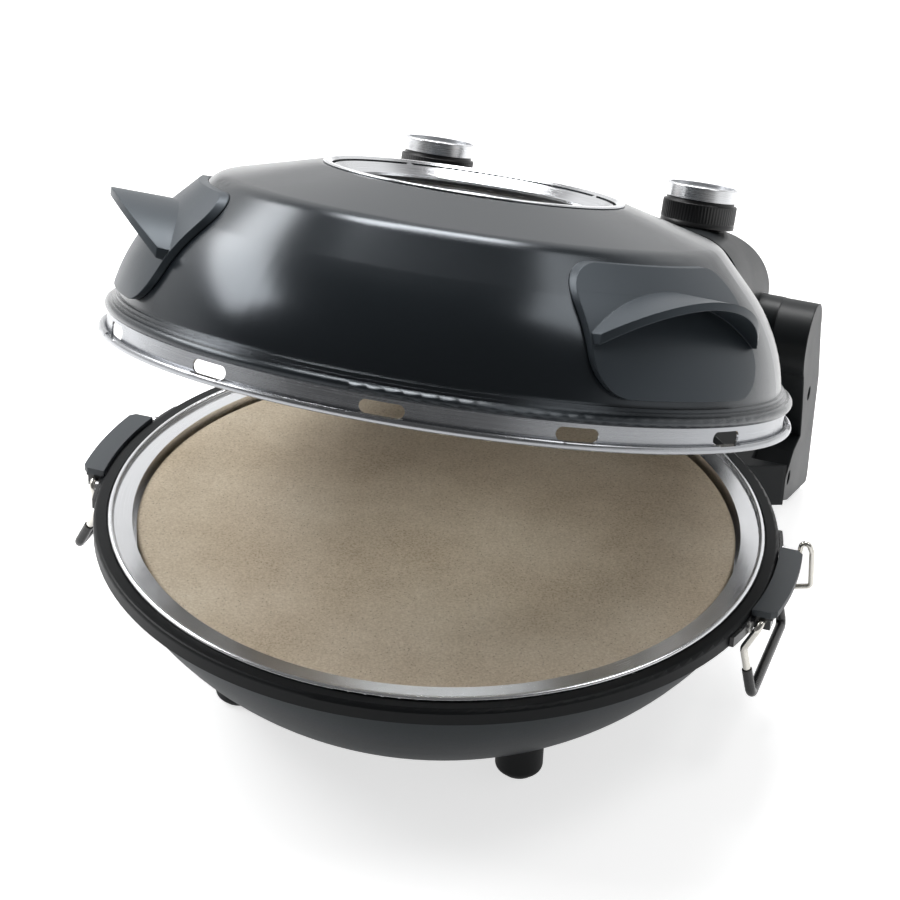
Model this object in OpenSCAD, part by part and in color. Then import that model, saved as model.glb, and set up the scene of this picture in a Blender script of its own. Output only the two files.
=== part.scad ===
// Electric pizza maker: a round base with a baking stone, and a hinged dome lid with a window.
// The model stands as it is used for loading, with the lid part open.
// Origin: on the table under the middle of the base. +Z is up and -Y is the front.

/* [Baking stone] */
// Diameter of the stone
stone_d = 308; // [280:1:330]
// Thickness of the stone
stone_t = 10; // [8:0.5:12]
// Gap around the stone, for expansion
stone_gap = 2.2; // [1.5:0.1:4]

/* [Base] */
// Height of the trim lip above the table
base_h = 90.6; // [85:0.2:100]
// Height of the bowl's floor above the table
floor_z = 20; // [16:0.5:23]
// Thickness of the bowl's sheet metal
bowl_t = 1.5; // [1:0.1:2.5]
// Radius of the bowl's curved wall, in section
bowl_arc_r = 164; // [150:1:180]
// Lean of the bowl's wall under the rim, in degrees
bowl_lean = 26; // [22:0.5:28]
// Width of the bright trim ring's flat
trim_w = 10.6; // [9:0.1:14]
// Radius of the trim ring's rolled lip
trim_roll = 1.6; // [1.2:0.1:2]
// Width of the black rim outside the trim ring
rim_w = 6.6; // [5.5:0.1:9]
// Height of the black rim
rim_h = 8; // [7:0.5:12]

/* [Feet] */
// Radius of a foot
foot_r = 12; // [10:0.5:14]
// Distance of each foot's axis in from the edge of the bowl's floor
foot_inset = 12.9; // [11:0.1:22]
// Radius of the rubber pad under a foot
pad_r = 8.5; // [7:0.5:9]

/* [Heaters] */
// Radius of the heating rods
rod_r = 3.5; // [3:0.1:4]
// Ring radius of the lower heating rod
low_ring_r = 100; // [85:1:110]
// Height of the lower rod above the bowl's floor
low_rod_up = 32; // [28:1:36]
// Ring radius of the upper heating rod
high_ring_r = 112; // [100:1:118]
// Height of the upper rod above the lid's foot
high_rod_up = 32; // [24:1:36]

/* [Ears and latches] */
// Half length of an ear along the rim
ear_half = 31; // [28:0.5:31.5]
// How far an ear stands out from the rim
ear_out = 12; // [11:0.5:16]
// Thickness of an ear
ear_t = 3.5; // [3:0.1:5]
// Radius of the lever's wire
lever_r = 1.9; // [1.5:0.1:2.2]
// Half distance between the lever's legs
lever_half = 34.3; // [34:0.1:38]
// Length of the lever from its pivot to the grip
lever_len = 41; // [36:1:48]
// Radius of the lever's grip sleeve
grip_r = 2.6; // [2.4:0.1:3.2]
// Radius of the catch loop's wire
loop_r = 1.35; // [1:0.05:1.6]
// Swing of the left lever away from hanging, in degrees
left_swing = 14; // [0:1:40]

/* [Hinge] */
// Distance of the hinge behind the middle of the base
hinge_y = 217; // [212:1:230]
// Height of the hinge above the table
hinge_z = 118; // [115:0.5:124]
// Opening of the lid, in degrees
lid_open = 20.6; // [0:0.1:90]
// Radius of the housing's hinge collars
collar_r = 16.5; // [14:0.5:17]
// Width of a hinge tower
tower_w = 20; // [18:1:24]
// Radius of the hinge pins
pin_r = 4; // [3:0.1:5]

/* [Lid] */
// Height of the window seat above the table, lid closed
lid_top_z = 186.2; // [180:0.2:194]
// Height of the vented band
band_h = 10.2; // [9:0.2:12]
// Number of vents in the band
vent_count = 12; // [6:1:16]
// Turn of the ring of vents, in degrees
vent_turn = 7; // [-15:0.5:15]
// Length of a vent
vent_l = 21; // [12:1:26]
// Height of a vent
vent_h = 6.4; // [5:0.2:7]
// Thickness of the lid's sheet metal
lid_t = 1.5; // [1:0.1:2]
// Radius of the lid's curved side, in section
lid_arc_r = 82; // [76:1:90]
// Slope of the lid's top, in degrees
top_slope = 14.9; // [13:0.1:17]
// Slope of the side under the shoulder, in degrees
side_slope = 45.8; // [43:0.1:49]
// Radius of the shoulder, in section
shoulder_r = 14; // [12:0.5:18]

/* [Window] */
// Radius of the window bezel
bezel_r = 75.6; // [70:0.2:80]
// Radius of the glass
glass_r = 65; // [60:0.5:65]
// Thickness of the glass
glass_t = 4; // [3:0.5:4]
// Depth of the bezel's cone
cone_d = 6.4; // [5.5:0.2:7.5]

/* [Handles] */
// Angle of the wing handles from the side, toward the front, in degrees
wing_turn = 30; // [20:1:40]
// Half length of a wing handle
wing_half = 53; // [46:1:58]
// Height of the wing's plate
wing_h = 56; // [50:1:58]
// Reach of the wing's hood from the lid's axis
wing_reach = 177; // [170:1:186]

/* [Controls] */
// Half width of the control housing
house_hw = 116; // [113:1:118]
// Distance of each knob's axis in from the housing's side
knob_inset = 39; // [32:1:46]
// Distance of the knobs behind the lid's axis
knob_y = 191; // [188:1:198]
// Radius of a knob's skirt
skirt_r = 20.6; // [18:0.1:23]
// Height of a knob's skirt
skirt_h = 15; // [12:0.5:18]
// Height of a knob's metal cap
cap_h = 7.4; // [6:0.2:9]
// Radius of the knob shafts
shaft_r = 3; // [2.5:0.1:3.5]

/* [Hidden] */

$fn = 96;
fine = 180;

// Clearances
fit = 0.05;
slack = 0.2;
gap = 0.3;
bend_step = 0.02;
bend_lap = 0.1;
sheet = 1;

// Base, from the stone outward
stone_r = stone_d / 2;
skirt_in_r = stone_r + stone_gap;
trim_r = skirt_in_r + sheet + trim_w + trim_roll / 2;
roll_c_r = trim_r - trim_roll;
roll_c_z = base_h - trim_roll;
flange_z = roll_c_z - trim_roll;
rim_in_r = trim_r + 0.8;
rim_r = rim_in_r + rim_w;
rim_top = roll_c_z - 0.1;
rim_z = rim_top - rim_h;
ledge_in_r = roll_c_r - 4;
ledge_w = 8;
stone_drop = 5.8;
stone_z = base_h - stone_drop - stone_t;
seat_z = stone_z - slack;
bowl_top_r = rim_r - 5.5;
bowl_top_z = rim_z - bowl_t;
bowl_c = [bowl_top_r - bowl_arc_r * cos(bowl_lean), bowl_top_z + bowl_arc_r * sin(bowl_lean)];
function bowl_r_at(z, inset = 0) = bowl_c.x + sqrt(pow(bowl_arc_r - inset, 2) - pow(bowl_c.y - z, 2));

// Reflector of the base
refl_gap = 10.5;
refl_floor = floor_z + bowl_t + refl_gap;
refl_top = seat_z - 2 * sheet;

// Foot fastening, from the pad upward
foot_pitch_r = bowl_r_at(floor_z) - foot_inset;
pad_t = 3;
foot_turn = -2.2;
head_seat = 8;
foot_screw_r = 2;
screw_top = refl_floor + sheet + 3.2;

// Heaters
low_rod_z = floor_z + bowl_t + low_rod_up;
lead_turn = 9;
lead_bend = 8;
clip_angles = [30, 150, 210, 330];
clip_t = 1.5;
clip_half = 6;

// Latches
pivot_x = rim_r + 3;
pivot_z = rim_top - 4.9;
ear_top = rim_top + 1.6;
ear_z = ear_top - ear_t;
plate_z = ear_z - 1.6;
grip_bend = 4;
lug_half = 4.2;
lug_in = lever_half - lever_r - 9.5;
lug_out = lever_half - grip_bend - gap;
lug_z = pivot_z - 4.2;
dog = [-7, -14.5];
foot_dx = -0.7;
loop_pin_r = 1.6;
loop_y = lever_half + grip_r + 0.5 + loop_r;
loop_eye_r = loop_pin_r + gap + loop_r + 0.15;
loop_hang = 120;
loop_rest_right = 0;

// Hinge and rear bracket
collar_l = 13;
tower_in = house_hw + collar_l;
tower_out = tower_in + tower_w;
head_r = 22;
head_c = [hinge_y - 5, hinge_z - 4];
arm_top = 56;
arm_z = 30;
arm_end = hinge_y - 45;
bar_back = hinge_y - 12;
arm_front = 96;
bracket_screw_z = 49;
rear_screw_l = 12;
tower_holes = [[hinge_y + 1.5, 78], [arm_end + 10, 42.5]];

// Lid, lid closed
band_in_r = trim_r + 1;
band_r = band_in_r + sheet;
lip_roll = 2;
lip_c_r = band_r + lip_roll - 0.1;
lip_c_z = rim_top + gap + lip_roll;
band_z = lip_c_z - 0.5;
band_top = band_z + band_h;
side_r = band_r - 4.1;
bead_roll = 2.6;
bead_c_r = side_r + 3.8;
bead_c_z = band_top + bead_roll;
side_lean = 8;
arc_c = [side_r - lid_arc_r * cos(side_lean), bead_c_z + bead_roll + 2.6 - lid_arc_r * sin(side_lean)];
seat_r = bezel_r + 2;
n_top = [sin(top_slope), cos(top_slope)];
n_side = [sin(side_slope), cos(side_slope)];
function cross2(a, b) = a.x * b.y - a.y * b.x;
function meet(p, u, q, v) = p + u * cross2(q - p, v) / cross2(u, v);
function side_point(inset) = arc_c + (lid_arc_r - inset) * n_side;
shoulder = meet([seat_r, lid_top_z], [n_top.y, -n_top.x], side_point(0), [-n_side.y, n_side.x]);
shoulder_c = shoulder - shoulder_r * (n_top + n_side) / (1 + n_top * n_side);
function top_z_at(r, inset = 0) = lid_top_z - inset / cos(top_slope) - (r - seat_r) * tan(top_slope);
liner_gap = 8;
high_rod_z = band_top + high_rod_up;

// Window, from the bezel downward
bezel_t = 1.2;
cone_low_z = lid_top_z + bezel_t - cone_d - bezel_t;
gasket_t = 1.4;
glass_z = cone_low_z - gasket_t - glass_t;
retainer_t = 1.5;
retainer_z = glass_z - retainer_t;
neck_r = seat_r - 2.4;
post_r = glass_r + 3.9;

// Wing handles
wing_z = band_top + bead_roll * 2 + 7;
wing_t = 3.4;
wing_corner = 18;
wing_skew = 2.5;
wing_places = [-wing_turn - wing_skew, wing_turn - wing_skew - 180];
arch_top = wing_z + wing_h - 10;
arch_end = arch_top - 19;
hood_t = 3.8;
hood_tilt = 3;
hood_half = wing_half - 1;
hood_corner = 26;
plan_r = 75;
arch_r = (pow(hood_half, 2) + pow(arch_top - arch_end, 2)) / (2 * (arch_top - arch_end));

// Control housing
house_z = lid_top_z - 80;
house_top = lid_top_z - 18.8;
house_front = knob_y - 41;
house_back = knob_y + 47;
house_round = 34;
house_wall = 3;
knob_x = house_hw - knob_inset;
back_round = 46;
cover_t = 3;
cover_screw_in = 12;
cover_screw_side = 7;
cover_screw_bite = 9;
hump_half = 26;
hump_top = lid_top_z - 9;
hump_front = house_front - 22;
hump_back = house_front + 30;
lamp = [0, hump_front + 26];
lamp_r = 5;
knob_z = house_top + 0.5;
bush_h = 4;
bush_gap = 0.4;
switch_h = 20;
switch_w = 34;
boss_r = 9;

// ---------------------------------------------------------------- tools

module ring(r_in, r_out, h) {
    difference() {
        cylinder(r = r_out, h = h, $fn = fine);
        translate([0, 0, -1]) cylinder(r = r_in, h = h + 2, $fn = fine);
    }
}

module at_angles(angles, r) {
    for (a = angles) rotate([0, 0, a]) translate([r, 0, 0]) children();
}

module both_sides() {
    children();
    mirror([1, 0, 0]) children();
}

// Screw with its head's underside at z = 0 and its shank going down
module screw(head_r, head_h, shank_r, length) {
    difference() {
        cylinder(r = head_r, h = head_h);
        for (a = [0, 90]) rotate([0, 0, a])
            translate([-head_r * 0.6, -head_r * 0.1, head_h * 0.5]) cube([head_r * 1.2, head_r * 0.2, head_h]);
    }
    translate([0, 0, -length]) cylinder(r = shank_r, h = length + head_h * 0.3);
}

function unit(v) = v / norm(v);
function turn(a, b) = acos(min(1, max(-1, a * b)));

module place(at, x_dir, z_dir) {
    y_dir = cross(z_dir, x_dir);
    multmatrix([[x_dir.x, y_dir.x, z_dir.x, at.x], [x_dir.y, y_dir.y, z_dir.y, at.y],
        [x_dir.z, y_dir.z, z_dir.z, at.z], [0, 0, 0, 1]]) children();
}

module rod_section(r, bore) {
    difference() {
        circle(r = r, $fn = 24);
        if (bore > 0) circle(r = bore, $fn = 24);
    }
}

// Straight rod from a to b
module straight(a, b, r, bore = 0) {
    d = unit(b - a);
    side = abs(d.z) < 0.9 ? unit(cross([0, 0, 1], d)) : unit(cross([1, 0, 0], d));
    place(a, side, d) linear_extrude(norm(b - a)) rod_section(r, bore);
}

// Round rod or tube along points, with its corners bent to one radius and a hair thinner there
module bent_rod(points, r, bend, bore = 0) {
    n = len(points);
    dirs = [for (i = [0 : n - 2]) unit(points[i + 1] - points[i])];
    cut = [for (i = [0 : n - 1]) i == 0 || i == n - 1 ? 0 : bend * tan(turn(dirs[i - 1], dirs[i]) / 2)];
    lap = [for (i = [0 : n - 1]) i == 0 || i == n - 1 ? 0 : bend_lap];
    for (i = [0 : n - 2])
        straight(points[i] + dirs[i] * (cut[i] - lap[i]), points[i + 1] - dirs[i] * (cut[i + 1] - lap[i + 1]),
            r, bore);
    for (i = [1 : n - 2]) {
        inward = unit(dirs[i] - dirs[i - 1] * (dirs[i - 1] * dirs[i]));
        centre = points[i] - dirs[i - 1] * cut[i] + inward * bend;
        place(centre, -inward, cross(-inward, dirs[i - 1]))
            rotate_extrude(angle = turn(dirs[i - 1], dirs[i]), $fn = 48)
                translate([bend, 0]) rod_section(r - bend_step, bore > 0 ? bore + bend_step : 0);
    }
}

module rounded_rect(x0, x1, y0, y1, r) {
    translate([x0 + r, y0]) square([x1 - x0 - 2 * r, y1 - y0]);
    translate([x0, y0 + r]) square([x1 - x0, y1 - y0 - 2 * r]);
    for (x = [x0 + r, x1 - r], y = [y0 + r, y1 - r]) translate([x, y]) circle(r = r, $fn = 48);
}

// ---------------------------------------------------------------- base

// Filled bowl, drawn in by inset, from z0 up to z1
module bowl_solid(inset, z0, z1) {
    rotate_extrude($fn = fine) intersection() {
        translate(bowl_c) circle(r = bowl_arc_r - inset, $fn = fine);
        translate([0, z0]) square([rim_r, z1 - z0]);
    }
}

module base_shell() {
    color("#2f3337") difference() {
        union() {
            bowl_solid(0, floor_z, bowl_top_z + bowl_t);
            translate([0, 0, bowl_top_z]) ring(bowl_top_r - 4, rim_r - 2.2, bowl_t);
        }
        bowl_solid(bowl_t, floor_z + bowl_t, rim_top);
        feet_places() translate([0, 0, -1]) cylinder(r = foot_screw_r + fit, h = floor_z + 10);
        rear_screw_places() translate([0, 0, -3]) cylinder(r = 2, h = 8);
    }
}

module base_rim() {
    edge = 2;
    color("#17191b") difference() {
        rotate_extrude($fn = fine) union() {
            translate([rim_in_r, rim_z]) square([rim_w - edge, rim_top - rim_z]);
            translate([rim_in_r, rim_z]) square([rim_w, rim_top - rim_z - edge]);
            translate([rim_r - edge, rim_top - edge]) circle(r = edge, $fn = 48);
            translate([ledge_in_r, flange_z - 3]) square([ledge_w, 3]);
            translate([ledge_in_r + 3, rim_z]) square([ledge_w - 3, flange_z - rim_z]);
        }
        bracket_screw_places() translate([0, 0, -4.8]) cylinder(r = 1.3 + fit, h = 6);
    }
}

module trim_ring() {
    color("#d9dce0") rotate_extrude($fn = fine) union() {
        translate([skirt_in_r, flange_z]) square([roll_c_r - skirt_in_r, sheet]);
        translate([roll_c_r, roll_c_z]) circle(r = trim_roll, $fn = 48);
        translate([skirt_in_r, seat_z - sheet]) square([sheet, flange_z - seat_z + 2 * sheet]);
        translate([stone_r - 7, seat_z - sheet]) square([skirt_in_r + sheet - stone_r + 7, sheet]);
    }
}

module lower_reflector() {
    dish = bowl_t + refl_gap;
    color("#b9bcc0") difference() {
        union() {
            bowl_solid(dish, refl_floor, refl_top + sheet);
            translate([0, 0, refl_top]) cylinder(r = bowl_r_at(refl_top, bowl_t) - 1, h = sheet, $fn = fine);
        }
        bowl_solid(dish + sheet, refl_floor + sheet, refl_top + 2 * sheet);
        feet_places() translate([0, 0, refl_floor - 1]) cylinder(r = foot_screw_r + fit, h = 4);
        lead_places(low_ring_r) translate([0, 0, refl_floor - 1]) cylinder(r = rod_r + slack, h = 4);
    }
}

module lead_places(ring_r) {
    for (s = [-1, 1]) rotate([0, 0, 90 + s * lead_turn]) translate([ring_r, -s * lead_bend, 0]) children();
}

// Heating rod: an open ring whose two ends bend to run along Z, as far as drop from the ring
module heater(ring_r, z, drop) {
    lap_turn = bend_lap / ring_r * 180 / PI;
    inward = [0, 0, sign(drop)];
    rotate([0, 0, 90 + lead_turn - lap_turn]) rotate_extrude(angle = 360 - 2 * (lead_turn - lap_turn), $fn = 96)
        translate([ring_r, z]) circle(r = rod_r, $fn = 32);
    for (s = [-1, 1]) rotate([0, 0, 90 + s * lead_turn]) {
        place([ring_r, 0, z] + inward * lead_bend, -inward, cross(-inward, [0, -s, 0]))
            rotate_extrude(angle = 90, $fn = 48) translate([lead_bend, 0])
                circle(r = rod_r - bend_step, $fn = 32);
        translate([ring_r, -s * lead_bend, z + min(drop, inward.z * (lead_bend - bend_lap))])
            cylinder(r = rod_r, h = abs(drop) - lead_bend + bend_lap, $fn = 32);
    }
}

module lower_heater() {
    color("#6d6a66") heater(low_ring_r, low_rod_z, refl_floor - 5 - low_rod_z);
}

module lower_heater_clips() {
    color("#c3c6ca") difference() {
        at_angles(clip_angles, low_ring_r) translate([-clip_half, -clip_t / 2, refl_floor + sheet])
            cube([2 * clip_half, clip_t, low_rod_z + rod_r + 2 - refl_floor - sheet]);
        rotate_extrude($fn = fine) translate([low_ring_r, low_rod_z]) circle(r = rod_r + fit, $fn = 48);
    }
}

module pizza_stone() {
    edge = 1.2;
    color("#c9b08c") translate([0, 0, stone_z]) union() {
        cylinder(r = stone_r - edge, h = stone_t, $fn = fine);
        translate([0, 0, edge]) cylinder(r = stone_r, h = stone_t - 2 * edge, $fn = fine);
    }
}

// ---------------------------------------------------------------- feet

module feet_places() {
    at_angles([for (a = [45 : 90 : 315]) a + foot_turn], foot_pitch_r) children();
}

module feet() {
    soft = 4;
    color("#141516") feet_places() difference() {
        rotate_extrude($fn = 96) union() {
            translate([0, soft + 1]) square([foot_r, floor_z - soft - 1]);
            translate([0, 1]) square([foot_r - soft, soft + 1]);
            translate([foot_r - soft, soft + 1]) circle(r = soft, $fn = 48);
        }
        translate([0, 0, -1]) cylinder(r = pad_r + slack, h = pad_t + 1);
        cylinder(r = 4.4, h = head_seat);
        cylinder(r = foot_screw_r + fit, h = floor_z + 1);
    }
}

module foot_pads() {
    color("#26272a") feet_places() cylinder(r = pad_r, h = pad_t);
}

module foot_screws() {
    color("#a7aaad") feet_places() translate([0, 0, head_seat]) mirror([0, 0, 1])
        screw(4, 3, foot_screw_r, screw_top - head_seat);
}

module foot_nuts() {
    color("#a7aaad") feet_places() translate([0, 0, refl_floor + sheet]) difference() {
        cylinder(r = 4, h = 3, $fn = 6);
        translate([0, 0, -1]) cylinder(r = foot_screw_r + fit, h = 5);
    }
}

module reflector_spacers() {
    color("#9ea1a5") feet_places() translate([0, 0, floor_z + bowl_t])
        ring(foot_screw_r + fit, 5, refl_floor - floor_z - bowl_t);
}

// ---------------------------------------------------------------- ears and latches

// Sector outside the rim, cut off square at half the given length
module rim_sector(out, half, z, h) {
    intersection() {
        translate([0, 0, z]) ring(rim_r + slack, rim_r + out, h);
        translate([rim_r - 20, -half, z - 1]) cube([out + 30, 2 * half, h + 2]);
    }
}

module ear() {
    corner = 7;
    color("#3f4549") difference() {
        rim_sector(ear_out, ear_half, ear_z, ear_t);
        for (s = [-1, 1]) translate([rim_r + ear_out, s * ear_half, ear_z - 1])
            rotate([0, 0, 45]) cube([corner, corner, 3 * ear_t], center = true);
        ear_screw_places() translate([0, 0, -1]) cylinder(r = 1.2 + fit, h = 3.2);
    }
}

module ear_screw_places() {
    for (s = [-1, 1]) translate([rim_r + ear_out / 2, s * 12, ear_z]) children();
}

module ear_right() { ear(); }

module ear_left() { mirror([1, 0, 0]) ear(); }

module bracket_arm_angles() {
    for (a = [-12, 12]) rotate([0, 0, a]) children();
}

module bracket_screw_places() {
    both_sides() bracket_arm_angles() translate([rim_r + 1.6, 0, rim_z + 3.4]) rotate([0, 90, 0]) children();
}

// Black metal bracket: a plate under the ear, two arms on the rim and two lugs for the lever
module latch_bracket() {
    arm_t = 2.2;
    arm_half = rim_r * sin(17.5);
    color("#1b1d1f") difference() {
        union() {
            rim_sector(ear_out - 1.5, ear_half - 1, plate_z, ear_z - plate_z);
            rim_sector(arm_t, arm_half, rim_z + 0.2, plate_z - rim_z + 1);
            for (s = [-1, 1]) translate([pivot_x - lug_half, s > 0 ? lug_in : -lug_out, lug_z])
                cube([2 * lug_half, lug_out - lug_in, plate_z - lug_z + 0.5]);
        }
        translate([pivot_x, -lug_out - 1, pivot_z]) rotate([-90, 0, 0])
            cylinder(r = lever_r + fit, h = 2 * lug_out + 2);
        bracket_screw_places() cylinder(r = 3.2, h = 5);
        bracket_screw_places() translate([0, 0, -4]) cylinder(r = 1.3 + fit, h = 6);
        ear_screw_places() translate([0, 0, plate_z - ear_z - 1]) cylinder(r = 1.2 + fit, h = 6);
    }
}

module latch_bracket_right() { latch_bracket(); }

module latch_bracket_left() { mirror([1, 0, 0]) latch_bracket(); }

module bracket_screws() {
    color("#c9ccd0") bracket_screw_places() screw(2.9, 1.6, 1.3, 4.4);
}

module ear_screws() {
    color("#a7aaad") both_sides() ear_screw_places() translate([0, 0, plate_z - ear_z])
        mirror([0, 0, 1]) screw(2.4, 1.4, 1.2, ear_z - plate_z + 2);
}

// Frame of a lever: origin on its pivot, hanging along -Z, outward is +X
module lever_frame(swing) {
    translate([pivot_x, 0, pivot_z]) rotate([0, -swing, 0]) children();
}

function lever_points(y_end) = [[0, y_end, 0], [0, lever_half, 0], [dog.x, lever_half, dog.y],
    [foot_dx, lever_half, -lever_len], [foot_dx, -lever_half, -lever_len], [dog.x, -lever_half, dog.y],
    [0, -lever_half, 0], [0, -y_end, 0]];
grip_up = 15;
grip_dir = unit([dog.x - foot_dx, 0, dog.y + lever_len]);
grip_points = [[foot_dx, lever_half, -lever_len] + grip_dir * grip_up, [foot_dx, lever_half, -lever_len],
    [foot_dx, -lever_half, -lever_len], [foot_dx, -lever_half, -lever_len] + grip_dir * grip_up];

module lever_wire() {
    color("#c8c5bb") union() {
        bent_rod(lever_points(lug_in + 0.5), lever_r, grip_bend);
        translate([dog.x, lever_half, dog.y]) rotate([-90, 0, 0])
            cylinder(r = loop_pin_r, h = loop_y + loop_r + 0.6 - lever_half, $fn = 48);
        translate([dog.x, loop_y + loop_r + 0.3, dog.y]) rotate([-90, 0, 0])
            cylinder(r = loop_pin_r + 0.9, h = 1, $fn = 48);
    }
}

module lever_grip() {
    color("#111213") bent_rod(grip_points, grip_r, grip_bend, lever_r + fit);
}

// Catch loop: a bent wire loop with an eye around the pin on the lever's rear leg
module catch_loop(turned) {
    start = [loop_eye_r, -loop_eye_r] * sqrt(0.5);
    outline = [start, [8, -6.2], [18.2, -3.4], [16.8, 16.5], [11.9, 27.6], [10.4, 14], [0, loop_eye_r]];
    points = [for (p = outline) [p.x, 0, p.y]];
    color("#c8c5bb") translate([dog.x, loop_y, dog.y]) rotate([0, turned, 0]) union() {
        bent_rod(points, loop_r, 2.4);
        rotate([90, 0, 0]) rotate_extrude($fn = 48) translate([loop_eye_r, 0])
            circle(r = loop_r + 0.15, $fn = 24);
    }
}

module lever_wire_right() { lever_frame(0) lever_wire(); }

module lever_wire_left() { mirror([1, 0, 0]) lever_frame(left_swing) lever_wire(); }

module lever_grip_right() { lever_frame(0) lever_grip(); }

module lever_grip_left() { mirror([1, 0, 0]) lever_frame(left_swing) lever_grip(); }

module catch_loop_right() { lever_frame(0) catch_loop(loop_rest_right); }

module catch_loop_left() { mirror([1, 0, 0]) lever_frame(left_swing) catch_loop(loop_hang + left_swing); }

// ---------------------------------------------------------------- hinge towers

// Places on the bowl's inner wall, with +Z along the wall's outward normal
module rear_screw_places() {
    seat_arc = bowl_arc_r - bowl_t - slack;
    drop = asin((bowl_c.y - bracket_screw_z) / seat_arc);
    for (a = [62, 90, 118]) rotate([0, 0, a]) translate([bowl_c.x, 0, bowl_c.y]) rotate([0, 90 + drop, 0])
        translate([0, 0, seat_arc]) children();
}

module rear_bracket() {
    half = tower_out;
    inner = tower_in - slack;
    color("#15171a") difference() {
        translate([0, 0, arm_z]) linear_extrude(arm_top - arm_z) polygon([[half, arm_end],
            [half - 31, arm_end - 14], [arm_front, 132], [arm_front - 14, 118], [14 - arm_front, 118],
            [-arm_front, 132], [31 - half, arm_end - 14], [-half, arm_end], [-inner, arm_end],
            [-inner, bar_back], [inner, bar_back], [inner, arm_end]]);
        bowl_solid(-0.15, arm_z - 1, arm_top + 1);
        rear_screw_places() translate([0, 0, -1]) cylinder(r = 1.7, h = 14);
        both_sides() translate([inner - 18, tower_holes[1].x, tower_holes[1].y]) rotate([0, 90, 0])
            cylinder(r = 1.7, h = 30);
        translate([0, bar_back - 12, 45]) rotate([-90, 0, 0]) cylinder(r = 6.2, h = 20);
    }
}

module rear_bracket_screws() {
    color("#a7aaad") rear_screw_places() mirror([0, 0, 1]) screw(3.6, 2, 1.65, rear_screw_l);
}

// Side outline of a tower: x is the model's Y and y is its Z
module tower_outline() {
    translate(head_c) circle(r = head_r, $fn = 96);
    polygon([[head_c.x - head_r, head_c.y], [hinge_y - 18, arm_top + 33], [hinge_y - 12, arm_top + 11],
        [hinge_y - 10, arm_top], [hinge_y - 28, arm_top], [hinge_y - 34, arm_top - 3], [arm_end, arm_z + 17],
        [arm_end, arm_z + 3], [hinge_y - 31, arm_z - 4.4], [hinge_y + 5, arm_z - 17], [hinge_y + 23, arm_z - 23.5],
        [hinge_y + 29, arm_z - 25], [hinge_y + 31, arm_z - 22], [hinge_y + 30, arm_top + 19],
        [head_c.x + head_r, head_c.y]]);
}

module hinge_tower() {
    color("#1c1f22") difference() {
        translate([tower_in, 0, 0]) rotate([90, 0, 90]) linear_extrude(tower_w) tower_outline();
        translate([tower_in - 1, hinge_y, hinge_z]) rotate([0, 90, 0]) cylinder(r = pin_r + fit, h = tower_w - 2);
        for (h = tower_holes) translate([tower_in, h.x, h.y]) rotate([0, 90, 0]) {
            translate([0, 0, tower_w - 3.5]) cylinder(r = 4.2, h = 5);
            translate([0, 0, -1]) cylinder(r = 1.7, h = tower_w);
        }
    }
}

module hinge_tower_right() { hinge_tower(); }

module hinge_tower_left() { mirror([1, 0, 0]) hinge_tower(); }

module tower_screws() {
    color("#8d9093") both_sides() for (i = [0, 1])
        translate([tower_out - 3.5, tower_holes[i].x, tower_holes[i].y]) rotate([0, 90, 0])
            screw(3.9, 2.4, 1.65, i == 0 ? tower_w - 5 : tower_w + 10);
}

module hinge_pins() {
    color("#b4b7ba") both_sides() translate([tower_in - 21, hinge_y, hinge_z]) rotate([0, 90, 0])
        cylinder(r = pin_r, h = tower_w + 18);
}

module cord_gland() {
    color("#101112") translate([0, bar_back, 45]) rotate([-90, 0, 0]) difference() {
        union() {
            translate([0, 0, -12]) cylinder(r = 6.1, h = 12);
            cylinder(r = 9, h = 3);
            translate([0, 0, 3]) cylinder(r1 = 7, r2 = 5.6, h = 5);
        }
        translate([0, 0, -13]) cylinder(r = 3.6, h = 30);
    }
}

// ---------------------------------------------------------------- lid

module in_lid() {
    translate([0, hinge_y, hinge_z]) rotate([-lid_open, 0, 0]) translate([0, -hinge_y, -hinge_z]) children();
}

// Half section of the lid's outside, drawn in by inset and filled to the axis.
// Its arcs are a hair inside its straight lines.
module lid_section(inset, z0) {
    foot = side_point(inset);
    seat = [seat_r - inset * tan(top_slope / 2), lid_top_z - inset];
    polygon([[0, z0], [arc_c.x, z0], foot, shoulder_c + (shoulder_r - inset) * n_side,
        shoulder_c + (shoulder_r - inset) * n_top, seat, [0, seat.y]]);
    translate(shoulder_c) circle(r = shoulder_r - inset - bend_step, $fn = 96);
    intersection() {
        translate(arc_c) circle(r = lid_arc_r - inset - bend_step, $fn = fine);
        translate([arc_c.x, z0]) square([lid_arc_r + 10, foot.y - z0]);
    }
}

module lid_solid(inset, z0) {
    rotate_extrude($fn = fine) lid_section(inset, z0);
}

module wing_screw_places() {
    middle = (side_point(0) + shoulder) / 2;
    for (w = wing_places, d = [-10, 10]) rotate([0, 0, w + d])
        translate([middle.x, 0, middle.y]) rotate([0, 90 - side_slope, 0]) children();
}

module lid_shell() {
    color("#34383d") in_lid() difference() {
        union() {
            lid_solid(0, band_top);
            translate([0, 0, band_top]) cylinder(r = bead_c_r, h = bead_roll * 2, $fn = fine);
            translate([0, 0, band_top]) cylinder(r = side_r + 2.8, h = bead_roll * 2 + 1.2, $fn = fine);
            translate([0, 0, band_top]) cylinder(r = side_r + 1.4, h = bead_roll * 2 + 3, $fn = fine);
            rotate_extrude($fn = fine) translate([bead_c_r, bead_c_z]) circle(r = bead_roll - bend_step, $fn = 32);
        }
        lid_solid(lid_t, band_top - 1);
        translate([0, 0, band_top]) cylinder(r = seat_r - 5.8, h = 100, $fn = fine);
        wing_screw_places() translate([0, 0, -3]) cylinder(r = 1.5 + fit, h = 6);
        rear_lid_screw_places() translate([0, 0, -4]) cylinder(r = 1.5 + fit, h = 8);
    }
}

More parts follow.
